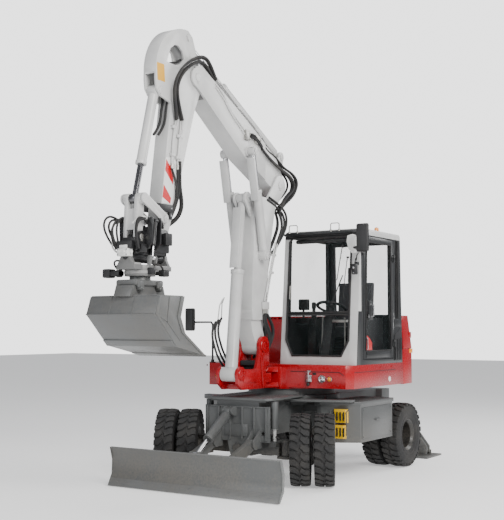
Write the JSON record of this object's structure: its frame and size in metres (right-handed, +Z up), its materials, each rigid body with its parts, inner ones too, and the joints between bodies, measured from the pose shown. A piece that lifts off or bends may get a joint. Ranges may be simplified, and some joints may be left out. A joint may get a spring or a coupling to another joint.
{
  "type": "wheeled excavator",
  "caption": "Compact wheeled excavator with a swinging two-piece boom, tilting rotating bucket coupler, dozer blade, stabilizers, twin tyres and cab.",
  "frame": {"origin": "on the ground under the middle of the object's bounding box", "axes": "+X towards the blade and bucket, +Y to the driver's left, +Z up"},
  "size_m": [5.946, 2.8, 5.146],
  "materials": {
    "chassis_grey": "satin paint",
    "boom_grey": "satin paint",
    "body_red": "gloss paint",
    "housing_red": "gloss paint",
    "cab_grey": "satin paint",
    "door_dark": "satin paint",
    "glass_tint": "clear, slightly green",
    "rim_black": "satin paint",
    "tyre_black": "worn tread",
    "axle_cast": "painted casting",
    "chrome_rod": "hard chrome",
    "barrel_grey": "satin paint",
    "bucket_steel": "worn paint",
    "hitch_grey": "satin paint",
    "hitch_dark": "satin paint",
    "seat_fabric": "woven fabric",
    "trim_black": "grained",
    "engine_dark": "painted casting",
    "chock_yellow": "moulded",
    "lamp_clear": "clear lens"
  },
  "bodies": {
    "chassis": {"chassis_frame": "chassis_grey", "front_axle": "axle_cast", "rear_axle": "axle_cast", "axle_locks": "barrel_grey", "side_boxes": "chassis_grey", "wheel_chocks": "chock_yellow"},
    "steer_left": {"knuckle_left": "axle_cast"},
    "steer_right": {"knuckle_right": "axle_cast"},
    "wheels_front_left": {"rims_front_left": "rim_black", "tyres_front_left": "tyre_black"},
    "wheels_front_right": {"rims_front_right": "rim_black", "tyres_front_right": "tyre_black"},
    "wheels_rear_left": {"rims_rear_left": "rim_black", "tyres_rear_left": "tyre_black"},
    "wheels_rear_right": {"rims_rear_right": "rim_black", "tyres_rear_right": "tyre_black"},
    "blade": {"blade": "chassis_grey"},
    "blade_barrel": {"blade_barrel": "chassis_grey"},
    "blade_rod": {"blade_rod": "chrome_rod"},
    "upper": {"platform": "body_red", "counterweight": "body_red", "engine_block": "engine_dark", "right_housing": "housing_red", "cab_shell": "cab_grey", "cab_glass": "glass_tint", "seat": "seat_fabric", "console": "trim_black", "mirrors": "trim_black", "lamps": "lamp_clear"},
    "door": {"cab_door": "door_dark", "door_glass": "glass_tint"},
    "hood": {"engine_hood": "housing_red"},
    "swing": {"swing_post": "body_red"},
    "lift_barrel": {"lift_barrel": "barrel_grey"},
    "lift_rod": {"lift_rod": "chrome_rod"},
    "lower_boom": {"lower_boom": "boom_grey"},
    "adjust_barrels": {"adjust_barrels": "barrel_grey"},
    "adjust_rods": {"adjust_rods": "chrome_rod"},
    "upper_boom": {"upper_boom": "boom_grey"},
    "arm_barrel": {"arm_barrel": "barrel_grey"},
    "arm_rod": {"arm_rod": "chrome_rod"},
    "arm": {"arm": "boom_grey"},
    "bucket_barrel": {"bucket_barrel": "barrel_grey"},
    "bucket_rod": {"bucket_rod": "chrome_rod"},
    "rocker": {"rocker": "boom_grey"},
    "bucket_link": {"bucket_link": "boom_grey"},
    "tilt_hitch": {"tilt_hitch": "hitch_grey"},
    "tilt_frame": {"tilt_frame": "hitch_grey"},
    "bucket": {"bucket": "bucket_steel"},
    "stabilizer_left": {"stabilizer_left": "chassis_grey"},
    "stabilizer_barrel_left": {"stabilizer_barrel_left": "chassis_grey"},
    "stabilizer_rod_left": {"stabilizer_rod_left": "chrome_rod"},
    "tilt_barrel_left": {"tilt_barrel_left": "hitch_dark"},
    "tilt_rod_left": {"tilt_rod_left": "chrome_rod"},
    "stabilizer_right": {"stabilizer_right": "chassis_grey"},
    "stabilizer_barrel_right": {"stabilizer_barrel_right": "chassis_grey"},
    "stabilizer_rod_right": {"stabilizer_rod_right": "chrome_rod"},
    "tilt_barrel_right": {"tilt_barrel_right": "hitch_dark"},
    "tilt_rod_right": {"tilt_rod_right": "chrome_rod"}
  },
  "joints": [
    {"name": "steer_left", "type": "hinge", "parent": "chassis", "child": "steer_left", "pos_m": [0.652, 0.59, 0.42], "axis": [0, 0, 1], "range_deg": [-57, 3]},
    {"name": "steer_right", "type": "hinge", "parent": "chassis", "child": "steer_right", "pos_m": [0.652, -0.59, 0.42], "axis": [0, 0, 1], "range_deg": [-57, 3]},
    {"name": "wheel_front_left_spin", "type": "hinge", "parent": "steer_left", "child": "wheels_front_left", "pos_m": [0.652, 0.59, 0.42], "axis": [-0.454, 0.891, 0], "continuous": true},
    {"name": "wheel_front_right_spin", "type": "hinge", "parent": "steer_right", "child": "wheels_front_right", "pos_m": [0.652, -0.59, 0.42], "axis": [-0.454, 0.891, 0], "continuous": true},
    {"name": "wheel_rear_left_spin", "type": "hinge", "parent": "chassis", "child": "wheels_rear_left", "pos_m": [-1.598, 0.892, 0.42], "axis": [0, 1, 0], "continuous": true},
    {"name": "wheel_rear_right_spin", "type": "hinge", "parent": "chassis", "child": "wheels_rear_right", "pos_m": [-1.598, -0.892, 0.42], "axis": [0, 1, 0], "continuous": true},
    {"name": "slew", "type": "hinge", "parent": "chassis", "child": "upper", "pos_m": [-0.473, 0, 1.08], "axis": [0, 0, 1], "continuous": true},
    {"name": "blade_lift", "type": "hinge", "parent": "chassis", "child": "blade", "pos_m": [0.927, 0, 0.48], "axis": [0, -1, 0], "range_deg": [-6, 30]},
    {"name": "blade_ram_pivot", "type": "hinge", "parent": "chassis", "child": "blade_barrel", "pos_m": [0.902, -0.06, 0.85], "axis": [0, -1, 0], "range_deg": [-4.56, 22.8]},
    {"name": "blade_ram_stroke", "type": "slide", "parent": "blade_barrel", "child": "blade_rod", "axis": [0.8242, 0, -0.5663], "range_m": [-0.1682, 0.0336]},
    {"name": "stabilizer_left_lift", "type": "hinge", "parent": "chassis", "child": "stabilizer_left", "pos_m": [-2.703, 0.33, 0.62], "axis": [1, 0, 0], "range_deg": [0, 75]},
    {"name": "stabilizer_left_ram_pivot", "type": "hinge", "parent": "chassis", "child": "stabilizer_barrel_left", "pos_m": [-2.703, 0.04, 0.925], "axis": [1, 0, 0], "range_deg": [0, 20.27]},
    {"name": "stabilizer_left_ram_stroke", "type": "slide", "parent": "stabilizer_barrel_left", "child": "stabilizer_rod_left", "axis": [0, 0.848, -0.53], "range_m": [-0.2089, 0]},
    {"name": "stabilizer_right_lift", "type": "hinge", "parent": "chassis", "child": "stabilizer_right", "pos_m": [-2.703, -0.33, 0.62], "axis": [-1, 0, 0], "range_deg": [0, 75]},
    {"name": "stabilizer_right_ram_pivot", "type": "hinge", "parent": "chassis", "child": "stabilizer_barrel_right", "pos_m": [-2.703, -0.04, 0.925], "axis": [-1, 0, 0], "range_deg": [0, 20.27]},
    {"name": "stabilizer_right_ram_stroke", "type": "slide", "parent": "stabilizer_barrel_right", "child": "stabilizer_rod_right", "axis": [0, -0.848, -0.53], "range_m": [-0.2089, 0]},
    {"name": "boom_swing", "type": "hinge", "parent": "upper", "child": "swing", "pos_m": [0.277, 0, 1.225], "axis": [0, 0, -1], "range_deg": [-60, 60]},
    {"name": "boom_lift", "type": "hinge", "parent": "swing", "child": "lower_boom", "pos_m": [0.442, 0, 1.617], "axis": [0, -1, 0], "range_deg": [-39, 2]},
    {"name": "lift_ram_pivot", "type": "hinge", "parent": "swing", "child": "lift_barrel", "pos_m": [0.947, 0, 1.285], "axis": [0, -1, 0], "range_deg": [-34.29, 1.76]},
    {"name": "lift_ram_stroke", "type": "slide", "parent": "lift_barrel", "child": "lift_rod", "axis": [-0.1128, 0, 0.9936], "range_m": [-0.3644, 0.0187]},
    {"name": "boom_adjust", "type": "hinge", "parent": "lower_boom", "child": "upper_boom", "pos_m": [0.03, 0, 3.63], "axis": [0, -1, 0], "range_deg": [-22, 18]},
    {"name": "adjust_ram_pivot", "type": "hinge", "parent": "lower_boom", "child": "adjust_barrels", "pos_m": [0.525, 0, 2.708], "axis": [0, -1, 0], "range_deg": [-7.99, 6.54]},
    {"name": "adjust_ram_stroke", "type": "slide", "parent": "adjust_barrels", "child": "adjust_rods", "axis": [0.2026, 0, 0.9793], "range_m": [-0.2637, 0.2158]},
    {"name": "arm_swing", "type": "hinge", "parent": "upper_boom", "child": "arm", "pos_m": [1.797, 0, 4.64], "axis": [0, 1, 0], "range_deg": [-62, 18]},
    {"name": "arm_ram_pivot", "type": "hinge", "parent": "upper_boom", "child": "arm_barrel", "pos_m": [-0.105, 0, 4.022], "axis": [0, 1, 0], "range_deg": [-4.74, 1.38]},
    {"name": "arm_ram_stroke", "type": "slide", "parent": "arm_barrel", "child": "arm_rod", "axis": [0.8902, 0, 0.4556], "range_m": [-0.4317, 0.1253]},
    {"name": "bucket_curl", "type": "hinge", "parent": "arm", "child": "tilt_hitch", "pos_m": [2.377, 0, 2.795], "axis": [0, 1, 0], "range_deg": [-35, 100]},
    {"name": "bucket_ram_pivot", "type": "hinge", "parent": "arm", "child": "bucket_barrel", "pos_m": [2.439, 0, 4.375], "axis": [0, 1, 0], "range_deg": [-1.78, 5.1]},
    {"name": "bucket_ram_stroke", "type": "slide", "parent": "bucket_barrel", "child": "bucket_rod", "axis": [0.2514, 0, -0.9679], "range_m": [-0.1789, 0.5112]},
    {"name": "rocker_pivot", "type": "hinge", "parent": "arm", "child": "rocker", "pos_m": [2.412, 0, 2.985], "axis": [0, 1, 0], "range_deg": [-33.91, 96.9]},
    {"name": "link_pivot", "type": "hinge", "parent": "tilt_hitch", "child": "bucket_link", "pos_m": [2.777, 0, 2.765], "axis": [0, 1, 0], "range_deg": [-40.8, 14.28]},
    {"name": "tool_tilt", "type": "hinge", "parent": "tilt_hitch", "child": "tilt_frame", "pos_m": [2.652, 0, 2.56], "axis": [1, 0, 0], "range_deg": [-40, 40]},
    {"name": "tilt_ram_left_pivot", "type": "hinge", "parent": "tilt_hitch", "child": "tilt_barrel_left", "pos_m": [2.652, 0.187, 2.935], "axis": [1, 0, 0], "range_deg": [-1.63, 1.63]},
    {"name": "tilt_ram_left_stroke", "type": "slide", "parent": "tilt_barrel_left", "child": "tilt_rod_left", "axis": [0, -0.07, -0.9975], "range_m": [-0.1037, 0.1037]},
    {"name": "tilt_ram_right_pivot", "type": "hinge", "parent": "tilt_hitch", "child": "tilt_barrel_right", "pos_m": [2.652, -0.187, 2.935], "axis": [1, 0, 0], "range_deg": [-1.63, 1.63]},
    {"name": "tilt_ram_right_stroke", "type": "slide", "parent": "tilt_barrel_right", "child": "tilt_rod_right", "axis": [0, 0.07, -0.9975], "range_m": [-0.1037, 0.1037]},
    {"name": "tool_rotate", "type": "hinge", "parent": "tilt_frame", "child": "bucket", "pos_m": [2.652, 0, 2.3], "axis": [0, 0, 1], "continuous": true},
    {"name": "cab_door", "type": "hinge", "parent": "upper", "child": "door", "pos_m": [-1.17, 1.147, 1.44], "axis": [0, 0, 1], "range_deg": [0, 95]},
    {"name": "engine_hood", "type": "hinge", "parent": "upper", "child": "hood", "pos_m": [-1.493, 0, 1.978], "axis": [0, 1, 0], "range_deg": [0, 60]}
  ],
  "couplings": [
    {"joint": "steer_right", "follows": "steer_left", "ratio": 1},
    {"joint": "blade_ram_pivot", "follows": "blade_lift", "ratio": 0.745},
    {"joint": "blade_ram_stroke", "follows": "blade_lift", "m_per_rad": -0.318},
    {"joint": "stabilizer_left_ram_pivot", "follows": "stabilizer_left_lift", "ratio": 0.265},
    {"joint": "stabilizer_left_ram_stroke", "follows": "stabilizer_left_lift", "m_per_rad": -0.158},
    {"joint": "stabilizer_right_ram_pivot", "follows": "stabilizer_right_lift", "ratio": 0.265},
    {"joint": "stabilizer_right_ram_stroke", "follows": "stabilizer_right_lift", "m_per_rad": -0.158},
    {"joint": "lift_ram_pivot", "follows": "boom_lift", "ratio": 0.862},
    {"joint": "lift_ram_stroke", "follows": "boom_lift", "m_per_rad": 0.53},
    {"joint": "adjust_ram_pivot", "follows": "boom_adjust", "ratio": 0.356},
    {"joint": "adjust_ram_stroke", "follows": "boom_adjust", "m_per_rad": 0.68},
    {"joint": "arm_ram_pivot", "follows": "arm_swing", "ratio": 0.075},
    {"joint": "arm_ram_stroke", "follows": "arm_swing", "m_per_rad": 0.395},
    {"joint": "bucket_ram_pivot", "follows": "bucket_curl", "ratio": 0.05},
    {"joint": "bucket_ram_stroke", "follows": "bucket_curl", "m_per_rad": 0.29},
    {"joint": "rocker_pivot", "follows": "bucket_curl", "ratio": 0.95},
    {"joint": "link_pivot", "follows": "bucket_curl", "ratio": -0.4},
    {"joint": "tilt_ram_left_pivot", "follows": "tool_tilt", "ratio": -0.04},
    {"joint": "tilt_ram_left_stroke", "follows": "tool_tilt", "m_per_rad": -0.147},
    {"joint": "tilt_ram_right_pivot", "follows": "tool_tilt", "ratio": -0.04},
    {"joint": "tilt_ram_right_stroke", "follows": "tool_tilt", "m_per_rad": 0.147}
  ]
}
